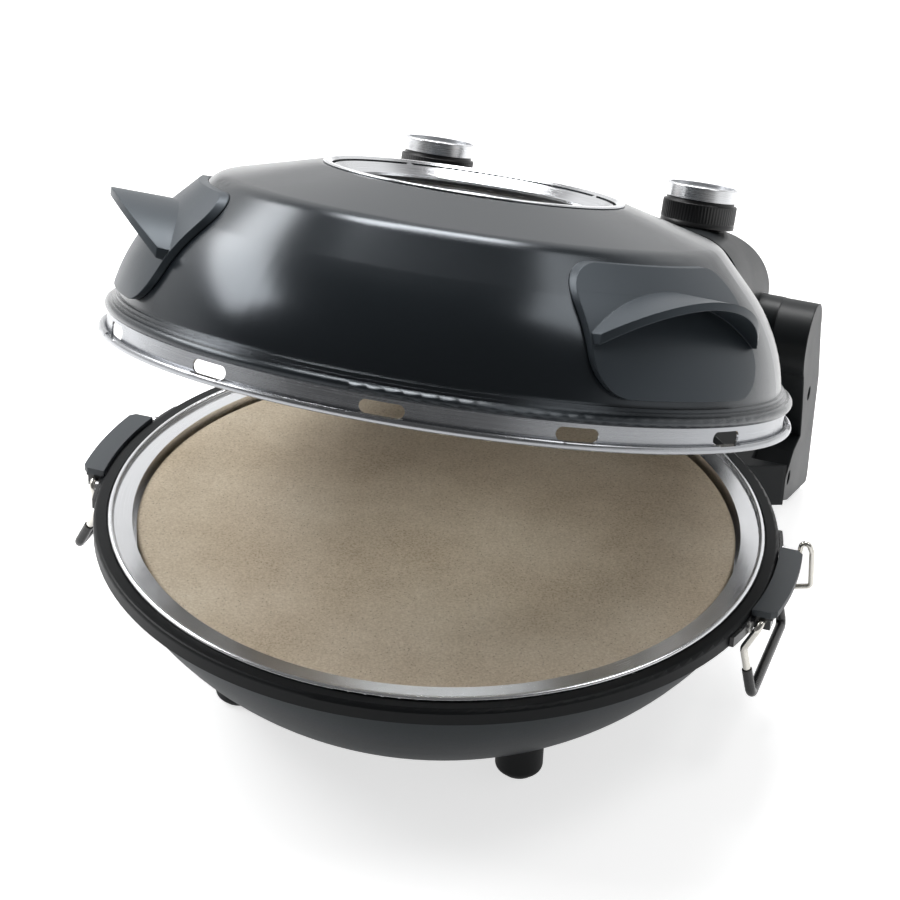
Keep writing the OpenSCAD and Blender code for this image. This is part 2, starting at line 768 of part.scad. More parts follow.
// Screws that hold the control housing on the back of the lid
module rear_lid_screw_places() {
    middle = (side_point(0) + shoulder) / 2;
    for (a = [79, 101]) rotate([0, 0, a]) translate([middle.x, 0, middle.y]) rotate([0, 90 - side_slope, 0])
        children();
}

module lid_band() {
    color("#cfd2d6") in_lid() difference() {
        rotate_extrude($fn = fine) union() {
            translate([band_in_r, band_z - 0.6]) square([sheet, band_h + 0.6]);
            translate([band_in_r - 9, band_top - 0.8]) square([band_r - band_in_r + 9, 0.8]);
            translate([band_in_r, band_z - 0.6]) square([lip_c_r - band_in_r, sheet]);
            translate([lip_c_r, lip_c_z]) circle(r = lip_roll, $fn = 48);
        }
        vent_z = band_z + 1.9 + vent_h / 2;
        for (i = [0 : vent_count - 1]) rotate([0, 0, i * 360 / vent_count + vent_turn])
            translate([band_in_r - 5, 0, vent_z]) rotate([90, 0, 90]) linear_extrude(15)
                rounded_rect(-vent_l / 2, vent_l / 2, -vent_h / 2, vent_h / 2, vent_h / 2 - 0.01);
    }
}

module lid_reflector() {
    color("#b9bcc0") in_lid() difference() {
        union() {
            lid_solid(liner_gap, band_top);
            translate([0, 0, band_top]) cylinder(r = side_r - lid_t - 1, h = sheet, $fn = fine);
            translate([0, 0, glass_z]) cylinder(r = neck_r, h = lid_top_z - liner_gap - glass_z, $fn = fine);
        }
        lid_solid(liner_gap + sheet, band_top - 1);
        translate([0, 0, band_top]) cylinder(r = neck_r - sheet, h = 100, $fn = fine);
        lead_places(high_ring_r) translate([0, 0, high_rod_z]) cylinder(r = rod_r + slack, h = 60);
    }
}

module upper_heater() {
    lead = top_z_at(high_ring_r, liner_gap) + 3 - high_rod_z;
    color("#6d6a66") in_lid() heater(high_ring_r, high_rod_z, lead);
}

module upper_heater_clips() {
    color("#c3c6ca") in_lid() difference() {
        intersection() {
            at_angles(clip_angles, high_ring_r) translate([-clip_half, -clip_t / 2, high_rod_z - rod_r - 2])
                cube([2 * clip_half, clip_t, 70]);
            lid_solid(liner_gap + sheet + 0.02, band_top);
        }
        rotate_extrude($fn = fine) translate([high_ring_r, high_rod_z]) circle(r = rod_r + fit, $fn = 48);
    }
}

// ---------------------------------------------------------------- window

module post_places() {
    at_angles([45, 135, 225, 315], post_r) children();
}

module window_bezel() {
    top = lid_top_z + bezel_t;
    rim = bezel_r - bezel_t / 2;
    cone_in = glass_r - 3.2;
    shelf = cone_low_z + bezel_t;
    slope = (bezel_r - cone_in - 6) / (top - shelf);
    color("#dfe2e5") in_lid() difference() {
        union() {
            rotate_extrude($fn = 96) union() {
                polygon([[cone_in, cone_low_z], [cone_in + 5, cone_low_z], [bezel_r - 5, lid_top_z],
                    [rim, lid_top_z], [rim, top], [cone_in, top]]);
                translate([rim, lid_top_z + bezel_t / 2]) circle(r = bezel_t / 2, $fn = 24);
            }
            post_places() translate([0, 0, glass_z]) cylinder(r = 2.3, h = lid_top_z - glass_z);
        }
        rotate_extrude($fn = 96) polygon([[0, shelf], [cone_in + 3, shelf], [bezel_r - 3 + slope, top + 1],
            [0, top + 1]]);
        translate([0, 0, cone_low_z - 1]) cylinder(r = cone_in, h = 3, $fn = 96);
        post_places() translate([0, 0, glass_z - 1]) cylinder(r = 1.2 + fit, h = 8);
    }
}

module window_gasket() {
    color("#0f1011") in_lid() translate([0, 0, glass_z + glass_t]) ring(glass_r - 3.2, glass_r, gasket_t);
}

module window_glass() {
    color("#9fb0b4") in_lid() translate([0, 0, glass_z]) cylinder(r = glass_r, h = glass_t, $fn = fine);
}

module window_retainer() {
    color("#b9bcc0") in_lid() translate([0, 0, retainer_z]) difference() {
        ring(glass_r - 5, neck_r + 1, retainer_t);
        post_places() translate([0, 0, -1]) cylinder(r = 1.2 + fit, h = 5);
    }
}

module retainer_screws() {
    color("#a7aaad") in_lid() post_places() translate([0, 0, retainer_z])
        mirror([0, 0, 1]) screw(2.6, 1.5, 1.2, retainer_t + 6);
}

// ---------------------------------------------------------------- wing handles

module wing_blank() {
    intersection() {
        rotate([0, 0, 180]) difference() {
            lid_solid(-wing_t - slack, wing_z - 5);
            lid_solid(-slack, wing_z - 10);
        }
        translate([60, 0, 0]) rotate([90, 0, 90]) linear_extrude(140)
            rounded_rect(-wing_half, wing_half, wing_z, wing_z + wing_h, wing_corner);
    }
}

module wing_hood() {
    difference() {
        intersection() {
            translate([side_r - 20, 0, arch_top - arch_r]) rotate([0, 90 - hood_tilt, 0]) difference() {
                cylinder(r = arch_r, h = 90, center = true, $fn = fine);
                cylinder(r = arch_r - hood_t, h = 92, center = true, $fn = fine);
            }
            translate([wing_reach - plan_r, 0, arch_end - 16]) rotate([0, 0, 180])
                cylinder(r = plan_r, h = 60, $fn = fine);
            translate([0, 0, arch_end - 16]) linear_extrude(60)
                rounded_rect(100, wing_reach + 0.7, -hood_half, hood_half, hood_corner);
        }
        rotate([0, 0, 180]) lid_solid(-wing_t / 2, wing_z - 10);
    }
}

module wing_handle() {
    wing_blank();
    wing_hood();
}

module wing_handle_right() {
    color("#3a4045") in_lid() difference() {
        rotate([0, 0, wing_places[0]]) wing_handle();
        wing_screw_places() translate([0, 0, -3]) cylinder(r = 1.5 + fit, h = 5.6);
    }
}

module wing_handle_left() {
    color("#3a4045") in_lid() difference() {
        rotate([0, 0, wing_places[1]]) wing_handle();
        wing_screw_places() translate([0, 0, -3]) cylinder(r = 1.5 + fit, h = 5.6);
    }
}

module wing_screws() {
    color("#a7aaad") in_lid() wing_screw_places() translate([0, 0, -lid_t - 0.15]) mirror([0, 0, 1])
        screw(2.9, 1.8, 1.5, lid_t + 2.4);
}

// ---------------------------------------------------------------- control housing

module dome(r) {
    intersection() {
        circle(r = r, $fn = 96);
        translate([-r, 0]) square([2 * r, r]);
    }
}

module house_across(inset) {
    round_r = house_round - inset;
    translate([-house_hw + inset, house_z - 2 * inset])
        square([2 * (house_hw - inset), house_top - house_round - house_z + 2 * inset]);
    translate([house_round - house_hw, house_z - 2 * inset])
        square([2 * (house_hw - house_round), house_top - house_z + inset]);
    for (s = [-1, 1]) translate([s * (house_hw - house_round), house_top - house_round]) dome(round_r);
}

module house_along(inset) {
    round_r = back_round - inset;
    translate([house_front + inset, house_z - 2 * inset])
        square([house_back - back_round - house_front - inset, house_top - house_z + inset]);
    translate([house_front + inset, house_z - 2 * inset])
        square([house_back - house_front - 2 * inset, house_top - back_round - house_z + 2 * inset]);
    translate([house_back - back_round, house_top - back_round]) dome(round_r);
}

module house_solid(inset) {
    intersection() {
        translate([0, house_back + 1, 0]) rotate([90, 0, 0]) linear_extrude(house_back - house_front + 2)
            house_across(inset);
        rotate([90, 0, 90]) translate([0, 0, -house_hw - 1]) linear_extrude(2 * house_hw + 2)
            house_along(inset);
    }
}

module knob_places() {
    translate([knob_x, knob_y, 0]) children();
    translate([-knob_x, knob_y, 0]) children();
}

module hump(inset) {
    translate([0, 0, house_z + 30]) linear_extrude(hump_top - house_z - 30 - inset)
        rounded_rect(-hump_half + inset, hump_half - inset, hump_front + inset, hump_back - inset, 8 - inset);
}

module control_housing() {
    color("#2b2f33") in_lid() difference() {
        union() {
            difference() {
                union() {
                    house_solid(0);
                    hump(0);
                }
                house_solid(house_wall);
                hump(house_wall);
            }
            both_sides() translate([tower_in - 22, hinge_y, hinge_z]) rotate([0, 90, 0])
                cylinder(r = boss_r, h = 18);
            both_sides() translate([house_hw - house_wall, hinge_y, hinge_z]) rotate([0, 90, 0])
                cylinder(r = collar_r, h = tower_in - slack - house_hw + house_wall);
            cover_screw_places() cylinder(r = 5, h = 20);
            rear_lid_screw_places() translate([0, 0, 1]) cylinder(r = 5, h = 8);
        }
        lid_solid(-gap, band_top - 20);
        translate([0, 0, band_top - 30]) cylinder(r = bead_c_r + bead_roll + 0.6, h = 38, $fn = fine);
        both_sides() translate([tower_in - 23, hinge_y, hinge_z]) rotate([0, 90, 0])
            cylinder(r = pin_r + fit, h = 40);
        knob_places() translate([0, 0, house_top - house_wall - 1]) cylinder(r = shaft_r + 0.6, h = 8);
        translate([lamp.x, lamp.y, hump_top - house_wall - 1]) cylinder(r = lamp_r + fit, h = 8);
        cover_screw_places() translate([0, 0, -1]) cylinder(r = 1.3 + fit, h = 12);
        rear_lid_screw_places() translate([0, 0, -2]) cylinder(r = 1.5 + fit, h = 8);
    }
}

function lid_rim_y() = bead_c_r + bead_roll + 3;

module cover_screw_places() {
    both_sides() for (y = [house_back - cover_screw_in, lid_rim_y() + cover_screw_in])
        translate([house_hw - cover_screw_side, y, house_z]) children();
}

module housing_cover() {
    inset = slack;
    color("#202326") in_lid() difference() {
        translate([-house_hw + inset, house_front + 3, house_z - cover_t])
            cube([2 * (house_hw - inset), house_back - house_front - 3 - inset, cover_t]);
        translate([0, 0, band_top - 30]) cylinder(r = lid_rim_y() - 2, h = 60, $fn = fine);
        both_sides() translate([house_hw - house_wall - 1, hinge_y, hinge_z]) rotate([0, 90, 0])
            cylinder(r = collar_r + gap, h = 10);
        cover_screw_places() translate([0, 0, -cover_t - 1]) cylinder(r = 1.3 + fit, h = 6);
    }
}

module housing_screws() {
    color("#a7aaad") in_lid() cover_screw_places() translate([0, 0, -cover_t]) mirror([0, 0, 1])
        screw(2.8, 1.6, 1.3, cover_t + cover_screw_bite);
    color("#a7aaad") in_lid() rear_lid_screw_places() translate([0, 0, -lid_t - 0.15]) mirror([0, 0, 1])
        screw(2.9, 1.8, 1.5, lid_t + 6);
}

module pilot_lamp() {
    color("#c8641e") in_lid() translate([lamp.x, lamp.y, hump_top]) union() {
        translate([0, 0, -house_wall - 6]) cylinder(r = lamp_r - 1, h = house_wall + 7);
        translate([0, 0, -house_wall]) cylinder(r = lamp_r, h = house_wall);
        cylinder(r = lamp_r + 1.2, h = 1.2);
    }
}

// ---------------------------------------------------------------- controls

// Rotary switch under the housing's top, with its bushing
module rotary_switch(x) {
    top = house_top - house_wall;
    difference() {
        union() {
            translate([x - switch_w / 2, knob_y - switch_w / 2, top - bush_h - switch_h])
                cube([switch_w, switch_w, switch_h]);
            translate([x, knob_y, top - bush_h]) cylinder(r = 6, h = bush_h - bush_gap);
        }
        translate([x, knob_y, top - bush_h - 14]) cylinder(r = shaft_r + fit, h = 30);
    }
}

module thermostat() { color("#b8a68c") in_lid() rotary_switch(knob_x); }

module timer() { color("#8f9296") in_lid() rotary_switch(-knob_x); }

module shaft(x) {
    from = house_top - house_wall - bush_h - 13;
    translate([x, knob_y, from]) cylinder(r = shaft_r, h = knob_z + skirt_h - 3 - from);
}

module thermostat_shaft() { color("#c9ccd0") in_lid() shaft(knob_x); }

module timer_shaft() { color("#c9ccd0") in_lid() shaft(-knob_x); }

module knob(x) {
    wall = 2.6;
    hub_r = shaft_r + 3;
    translate([x, knob_y, knob_z]) difference() {
        union() {
            difference() {
                cylinder(r = skirt_r, h = skirt_h);
                translate([0, 0, -1]) cylinder(r = skirt_r - wall, h = skirt_h - wall + 1);
            }
            cylinder(r = hub_r, h = skirt_h);
        }
        translate([0, 0, -1]) cylinder(r = shaft_r + fit, h = skirt_h - 2);
    }
}

module thermostat_knob() { color("#121315") in_lid() knob(knob_x); }

module timer_knob() { color("#121315") in_lid() knob(-knob_x); }

// Dished metal cap of a knob
module knob_cap(x) {
    r = skirt_r - 0.7;
    dish_r = 60;
    translate([x, knob_y, knob_z + skirt_h]) rotate_extrude($fn = 96) difference() {
        union() {
            square([r - 0.8, cap_h]);
            square([r, cap_h - 0.8]);
            translate([r - 0.8, cap_h - 0.8]) circle(r = 0.8, $fn = 48);
        }
        translate([0, cap_h - 1.6]) square([r - 1.8, 5]);
        translate([0, cap_h - 2.6 + dish_r]) intersection() {
            circle(r = dish_r, $fn = fine);
            translate([0, -dish_r]) square([r - 1.8, 10]);
        }
    }
}

module thermostat_knob_cap() { color("#c4c7cb") in_lid() knob_cap(knob_x); }

module timer_knob_cap() { color("#c4c7cb") in_lid() knob_cap(-knob_x); }

// ---------------------------------------------------------------- nodes

base_shell();
base_rim();
trim_ring();
lower_reflector();
lower_heater();
lower_heater_clips();
pizza_stone();
feet();
foot_pads();
foot_screws();
foot_nuts();
reflector_spacers();
ear_right();
ear_left();
latch_bracket_right();
latch_bracket_left();
bracket_screws();
ear_screws();
lever_wire_right();
lever_wire_left();
lever_grip_right();
lever_grip_left();
catch_loop_right();
catch_loop_left();
rear_bracket();
rear_bracket_screws();
hinge_tower_right();
hinge_tower_left();
tower_screws();
hinge_pins();
cord_gland();
lid_shell();
lid_band();
lid_reflector();
upper_heater();
upper_heater_clips();
window_bezel();
window_gasket();
window_glass();
window_retainer();
retainer_screws();
wing_handle_right();
wing_handle_left();
wing_screws();
control_housing();
housing_cover();
housing_screws();
pilot_lamp();
thermostat();
timer();
thermostat_shaft();
timer_shaft();
thermostat_knob();
timer_knob();
thermostat_knob_cap();
timer_knob_cap();
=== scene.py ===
import math

import bmesh
import bpy
from mathutils import Matrix, Vector

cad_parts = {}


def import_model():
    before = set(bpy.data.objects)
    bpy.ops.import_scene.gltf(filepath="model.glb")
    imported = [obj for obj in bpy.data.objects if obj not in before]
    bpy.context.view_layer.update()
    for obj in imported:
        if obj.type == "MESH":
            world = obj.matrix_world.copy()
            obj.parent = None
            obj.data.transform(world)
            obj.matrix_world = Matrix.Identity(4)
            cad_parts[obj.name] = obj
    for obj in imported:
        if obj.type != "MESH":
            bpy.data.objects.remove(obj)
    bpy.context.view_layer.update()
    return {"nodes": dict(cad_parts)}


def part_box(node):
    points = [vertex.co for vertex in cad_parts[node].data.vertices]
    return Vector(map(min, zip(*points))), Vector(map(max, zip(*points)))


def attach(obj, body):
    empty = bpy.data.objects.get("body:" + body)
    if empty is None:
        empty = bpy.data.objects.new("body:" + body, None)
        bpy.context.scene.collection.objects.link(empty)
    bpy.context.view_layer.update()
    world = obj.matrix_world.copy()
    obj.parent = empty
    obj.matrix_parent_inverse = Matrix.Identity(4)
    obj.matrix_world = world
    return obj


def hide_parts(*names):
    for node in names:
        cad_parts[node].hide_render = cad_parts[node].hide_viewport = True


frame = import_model()

MM = 0.001

# The lid stands open about its hinge. LID takes the closed lid there, and LID_BACK undoes it.
HINGE = Vector((0, 0.217, 0.118))
LID_OPEN = math.radians(20.6)
LID = Matrix.Translation(HINGE) @ Matrix.Rotation(-LID_OPEN, 4, "X") @ Matrix.Translation(-HINGE)
LID_BACK = LID.inverted()

# Foot of the right knob's axis on the closed lid. The left knob mirrors it.
KNOB_X, KNOB_Y, KNOB_Z = 0.077, 0.191, 0.1679


def new_object(name, data):
    obj = bpy.data.objects.new(name, data)
    bpy.context.scene.collection.objects.link(obj)
    return obj


# ---------------------------------------------------------------- nodes

def empty_tree(owner):
    """The node tree of a material or a world, with nothing in it."""
    owner.use_nodes = True
    owner.node_tree.nodes.clear()
    return owner.node_tree


def add(nt, kind, inputs=None, **props):
    """One shader node: inputs are values or sockets of other nodes."""
    n = nt.nodes.new("ShaderNode" + kind)
    for key, value in props.items():
        setattr(n, key, value)
    for key, value in (inputs or {}).items():
        if isinstance(value, bpy.types.NodeSocket):
            nt.links.new(value, n.inputs[key])
        else:
            n.inputs[key].default_value = value
    return n


def calc(nt, operation, *values, **props):
    """Result of one Math node on numbers or sockets."""
    return add(nt, "Math", dict(enumerate(values)), operation=operation, **props).outputs[0]


def mix(nt, fac, first, second, **props):
    inputs = {"Fac": fac, "Color1": first, "Color2": second}
    return add(nt, "MixRGB", inputs, **props).outputs[0]


def bump(nt, height, distance, strength=1.0):
    return add(nt, "Bump", {"Height": height, "Distance": distance, "Strength": strength})


def noise(nt, vec, scale, detail=2.0, rough=0.5):
    inputs = {"Vector": vec, "Scale": scale, "Detail": detail, "Roughness": rough}
    return add(nt, "TexNoise", inputs).outputs["Fac"]


def span(nt, value, low, high, a=0.3, b=0.7):
    """Maps a to b onto low to high. Most noise lies within 0.3 to 0.7."""
    inputs = {"Value": value, "From Min": a, "From Max": b, "To Min": low, "To Max": high}
    return add(nt, "MapRange", inputs).outputs["Result"]


def ramp(nt, value, stops):
    n = add(nt, "ValToRGB", {"Fac": value})
    e = n.color_ramp.elements
    while len(e) < len(stops):
        e.new(0.5)
    for item, (at, color) in zip(e, stops):
        item.position = at
        item.color = color
    return n.outputs["Color"]


def shade(color, k):
    return tuple(min(1.0, max(0.0, c * k)) for c in color) + (1.0,)


def place_coords(nt, lid, centre=None):
    """Coordinates in metres: level ones for the base, the closed lid's own for the lid."""
    vec = add(nt, "TexCoord").outputs["Object"]
    if lid:
        vec = add(nt, "Mapping", {"Vector": vec, "Location": LID_BACK.to_translation(),
                                  "Rotation": (LID_OPEN, 0, 0)}).outputs["Vector"]
    if centre:
        vec = add(nt, "VectorMath", {0: vec, 1: centre}, operation="SUBTRACT").outputs[0]
    return vec


def radius_from_z(nt, parts):
    flat = add(nt, "CombineXYZ", {0: parts.outputs[0], 1: parts.outputs[1]})
    return add(nt, "VectorMath", {0: flat.outputs[0]}, operation="LENGTH").outputs["Value"]


def round_coords(nt, vec, streak, along):
    """Coordinates whose noise makes hairlines running around Z, streak metres wide."""
    parts = add(nt, "SeparateXYZ", {0: vec})
    r = calc(nt, "MULTIPLY", radius_from_z(nt, parts), 1 / streak)
    z = calc(nt, "MULTIPLY", parts.outputs[2], 1 / streak)
    angle = calc(nt, "ARCTAN2", parts.outputs[1], parts.outputs[0])
    return add(nt, "CombineXYZ", {0: r, 1: z, 2: calc(nt, "MULTIPLY", angle, along)}).outputs[0]


# ---------------------------------------------------------------- materials

PATCH = 0.05            # width in metres of the soft patches of tone in paint and plastic
SMUDGE_SCALE = 28.0     # smudges to a metre on metal
SMUDGE = 0.04           # how far a smudge changes a metal's roughness
BEVEL_SAMPLES = 4


def blank(name):
    m = bpy.data.materials.new(name)
    nt = empty_tree(m)
    shader = add(nt, "BsdfPrincipled")
    add(nt, "OutputMaterial", {"Surface": shader.outputs[0]})
    return m, nt, shader


def coat_or_plastic(name, color, rough, lid=False, mottle=0.10, spread=0.05, grain=0.0006,
                    height=0.00001, edge=0.0, coat=0.0, coat_rough=0.2, specular=0.5,
                    tint=(1, 1, 1)):
    """Powder coat, moulded plastic or rubber, with soft patches and a fine grain.

    edge is the radius to which the light rounds its corners.
    """
    m, nt, p = blank(name)
    vec = place_coords(nt, lid)
    soft = noise(nt, vec, 1 / PATCH, 4.0, 0.6)
    fine = noise(nt, vec, 1 / grain, 3.0, 0.55)
    tone = calc(nt, "ADD", span(nt, soft, 0, 0.75), span(nt, fine, 0, 0.25))
    stops = [(0.0, shade(color, 1 - mottle)), (0.55, shade(color, 1)),
             (1.0, shade(color, 1 + mottle))]
    nt.links.new(ramp(nt, tone, stops), p.inputs["Base Color"])
    both = calc(nt, "ADD", soft, fine)
    nt.links.new(span(nt, both, rough - spread, rough + spread, 0.7, 1.3), p.inputs["Roughness"])
    relief = bump(nt, fine, height)
    if edge:
        rounded = add(nt, "Bevel", {"Radius": edge}, samples=BEVEL_SAMPLES)
        nt.links.new(rounded.outputs[0], relief.inputs["Normal"])
    nt.links.new(relief.outputs[0], p.inputs["Normal"])
    p.inputs["Specular IOR Level"].default_value = specular
    p.inputs["Coat Weight"].default_value = coat
    p.inputs["Coat Roughness"].default_value = coat_rough
    p.inputs["Specular Tint"].default_value = tint + (1,)
    return m


def metal(name, color, rough, lid=False, centre=None, streak=0.00018, along=3.0, tone=0.10,
          spread=0.06, height=0.0000015, stain=None, stretch=None):
    """Metal with faint smudges, and with hairlines around Z or, with stretch, along an axis."""
    m, nt, p = blank(name)
    vec = place_coords(nt, lid, centre)
    if stretch:
        scale = tuple(c / streak for c in stretch)
        brushed = add(nt, "VectorMath", {0: vec, 1: scale}, operation="MULTIPLY").outputs[0]
    else:
        brushed = round_coords(nt, vec, streak, along)
    hair = noise(nt, brushed, 1.0, 3.0, 0.6)
    soft = noise(nt, vec, SMUDGE_SCALE, 4.0, 0.6)
    stops = [(0.0, shade(color, 1 - tone)), (0.6, shade(color, 1)), (1.0, shade(color, 1 + tone))]
    base = ramp(nt, span(nt, hair, 0, 1), stops)
    if stain:
        base = mix(nt, span(nt, soft, 0, 0.85, 0.38, 0.66), base, stain + (1,))
    nt.links.new(base, p.inputs["Base Color"])
    both = calc(nt, "ADD", span(nt, hair, -spread, spread), span(nt, soft, -SMUDGE, SMUDGE))
    nt.links.new(calc(nt, "ADD", both, rough, use_clamp=True), p.inputs["Roughness"])
    nt.links.new(bump(nt, hair, height).outputs[0], p.inputs["Normal"])
    p.inputs["Metallic"].default_value = 1.0
    return m


def stone_material():
    """Fired cordierite: cloudy, speckled beige with tiny dark pores."""
    m, nt, p = blank("cordierite")
    vec = place_coords(nt, False)
    cloud = noise(nt, vec, 14.0, 5.0, 0.6)
    speck = noise(nt, vec, 900.0, 3.0, 0.7)
    voronoi = add(nt, "TexVoronoi", {"Vector": vec, "Scale": 420.0}, feature="F1")
    pore = voronoi.outputs["Distance"]
    tone = calc(nt, "ADD", span(nt, cloud, 0, 0.5), span(nt, speck, 0, 0.5, 0.35, 0.65))
    base = ramp(nt, tone, [(0.0, (0.40, 0.31, 0.21, 1)), (0.35, (0.58, 0.48, 0.35, 1)),
                           (0.7, (0.70, 0.60, 0.46, 1)), (1.0, (0.80, 0.72, 0.58, 1))])
    dark = mix(nt, span(nt, pore, 0.75, 0.0, 0.06, 0.2), base, (0.22, 0.16, 0.10, 1))
    nt.links.new(dark, p.inputs["Base Color"])
    nt.links.new(span(nt, speck, 0.82, 0.95), p.inputs["Roughness"])
    grain = bump(nt, speck, 0.00012)
    pits = bump(nt, span(nt, pore, 0, 1, 0.0, 0.25), 0.0002, 0.8)
    nt.links.new(grain.outputs[0], pits.inputs["Normal"])
    nt.links.new(pits.outputs[0], p.inputs["Normal"])
    return m


def glass_material():
    m, nt, p = blank("window_glass")
    soft = noise(nt, place_coords(nt, True), 30.0, 4.0, 0.6)
    stops = [(0.3, (0.93, 0.96, 0.95, 1)), (0.8, (0.98, 0.99, 0.985, 1))]
    nt.links.new(ramp(nt, soft, stops), p.inputs["Base Color"])
    nt.links.new(span(nt, soft, 0.0, 0.05), p.inputs["Roughness"])
    p.inputs["IOR"].default_value = 1.5
    p.inputs["Transmission Weight"].default_value = 1.0
    return m


def lamp_material():
    m, nt, p = blank("amber_lens")
    wave = noise(nt, place_coords(nt, True), 700.0)
    stops = [(0.3, (0.62, 0.17, 0.02, 1)), (0.7, (0.85, 0.33, 0.06, 1))]
    nt.links.new(ramp(nt, wave, stops), p.inputs["Base Color"])
    nt.links.new(span(nt, wave, 0.08, 0.22), p.inputs["Roughness"])
    nt.links.new(bump(nt, wave, 0.00005, 0.5).outputs[0], p.inputs["Normal"])
    p.inputs["Transmission Weight"].default_value = 0.55
    p.inputs["Coat Weight"].default_value = 0.5
    return m


def cap_material(side):
    """Spun knob cap, whose hairlines run around its own axis, with painted shade darkening the
    dish in its top.
    """
    dish_r, dish_edge = 0.0182, 0.0006
    # Painted shade: this grey darkens the cap's top dish so the top reads darker than the side,
    # as if it caught less light.
    dish_painted_shade = (0.5, 0.51, 0.53, 1)
    centre = (KNOB_X if side == "right" else -KNOB_X, KNOB_Y, KNOB_Z)
    m = metal("spun_cap_" + side, (0.86, 0.87, 0.89), 0.27, lid=True, centre=centre,
              streak=0.00022, along=0.6, tone=0.14, spread=0.07, height=0.000004)
    nt = m.node_tree
    p = next(n for n in nt.nodes if n.bl_idname == "ShaderNodeBsdfPrincipled")
    bright = p.inputs["Base Color"].links[0].from_socket
    parts = add(nt, "SeparateXYZ", {0: place_coords(nt, True, centre)})
    dish_shade_mask = span(nt, radius_from_z(nt, parts), 1, 0, dish_r - dish_edge, dish_r)
    # Painted shade multiplied into the base colour inside the dish.
    painted_shade = mix(nt, dish_shade_mask, bright, dish_painted_shade, blend_type="MULTIPLY")
    nt.links.new(painted_shade, p.inputs["Base Color"])
    return m


LID_COLOR = (0.0075, 0.0100, 0.0125)
BASE_COLOR = (0.0105, 0.0145, 0.0175)
SLATE = (0.0300, 0.0370, 0.0440)
BLACK = (0.0090, 0.0100, 0.0110)
COOL = (0.80, 0.90, 1)
ALUMINISED = (0.66, 0.67, 0.68)
BAKED_ON = (0.52, 0.48, 0.42)

M_LID = coat_or_plastic("powder_coat_lid", LID_COLOR, 0.23, lid=True, mottle=0.05, spread=0.02,
                        grain=0.0009, height=0.000001, edge=0.0025, coat=0.2, tint=COOL)
M_BASE = coat_or_plastic("powder_coat_base", BASE_COLOR, 0.42, mottle=0.06, spread=0.03,
                         grain=0.0009, specular=0.22, tint=(0.80, 0.92, 1))
M_RIM = coat_or_plastic("rim_plastic", BLACK, 0.42, grain=0.0004, height=0.000006, specular=0.15)
M_WING = coat_or_plastic("wing_plastic", SLATE, 0.40, lid=True, grain=0.00045, edge=0.0009,
                         tint=COOL)
M_EAR = coat_or_plastic("ear_plastic", SLATE, 0.46, grain=0.00045, height=0.000014, edge=0.0006)
M_HOUSE = coat_or_plastic("housing_plastic", (0.0110, 0.0135, 0.0150), 0.42, lid=True,
                          grain=0.00045, height=0.000014, edge=0.001, specular=0.3)
M_TOWER = coat_or_plastic("tower_plastic", (0.0100, 0.0120, 0.0135), 0.45, grain=0.00045,
                          height=0.000014, edge=0.0013, specular=0.3)
M_BRACKET = coat_or_plastic("bracket_enamel", BLACK, 0.28, grain=0.0008, height=0.000006,
                            edge=0.0004, coat=0.3, coat_rough=0.15)
M_FOOT = coat_or_plastic("foot_plastic", BLACK, 0.5, grain=0.0005, height=0.00002, specular=0.25)
M_RUBBER = coat_or_plastic("pad_rubber", (0.03, 0.03, 0.031), 0.85, mottle=0.15, grain=0.0004,
                           height=0.00003)
M_GASKET = coat_or_plastic("gasket_silicone", (0.02, 0.02, 0.021), 0.6, lid=True)
M_SLEEVE = coat_or_plastic("grip_sleeve", (0.009, 0.009, 0.010), 0.3, mottle=0.08, grain=0.0005,
                           height=0.000005, coat=0.4, coat_rough=0.1)
M_KNOB = coat_or_plastic("knob_plastic", (0.0095, 0.0098, 0.0105), 0.40, lid=True, grain=0.0004)
M_SWITCH = coat_or_plastic("switch_resin", (0.30, 0.24, 0.16), 0.55, lid=True, grain=0.0008,
                           height=0.00002)
M_TIMER = coat_or_plastic("timer_case", (0.42, 0.43, 0.45), 0.45, lid=True, grain=0.0008)
M_TRIM = metal("trim_chrome", (0.90, 0.91, 0.93), 0.22, streak=0.0004, tone=0.05, spread=0.03)
M_BAND = metal("band_steel", (0.40, 0.41, 0.43), 0.26, lid=True, streak=0.00025, tone=0.08,
               spread=0.05)
M_BEZEL = metal("bezel_steel", (0.74, 0.75, 0.77), 0.20, lid=True, streak=0.0003)
M_REFLECT = metal("aluminised", ALUMINISED, 0.34, streak=0.0006, tone=0.08, stain=BAKED_ON)
M_LINER = metal("aluminised_lid", ALUMINISED, 0.34, lid=True, streak=0.0006, tone=0.08,
                stain=BAKED_ON)
M_ROD = metal("heated_steel", (0.20, 0.185, 0.17), 0.46, stretch=(1, 1, 1), streak=0.0008,
              tone=0.2, height=0.00001, stain=(0.12, 0.085, 0.06))
M_CLIP = metal("clip_steel", (0.6, 0.6, 0.6), 0.3, stretch=(0.1, 1, 1))
M_ZINC = metal("zinc_screw", (0.62, 0.62, 0.64), 0.33, stretch=(1, 0.2, 1), streak=0.0004,
               stain=(0.50, 0.50, 0.47))
M_WIRE = metal("nickel_wire", (0.72, 0.70, 0.65), 0.2, stretch=(1, 1, 0.06), streak=0.0003,
               tone=0.08, spread=0.05)
M_ALU = metal("aluminium_spacer", (0.66, 0.66, 0.68), 0.35, streak=0.0004)
M_STONE = stone_material()
M_GLASS = glass_material()
M_LAMP = lamp_material()

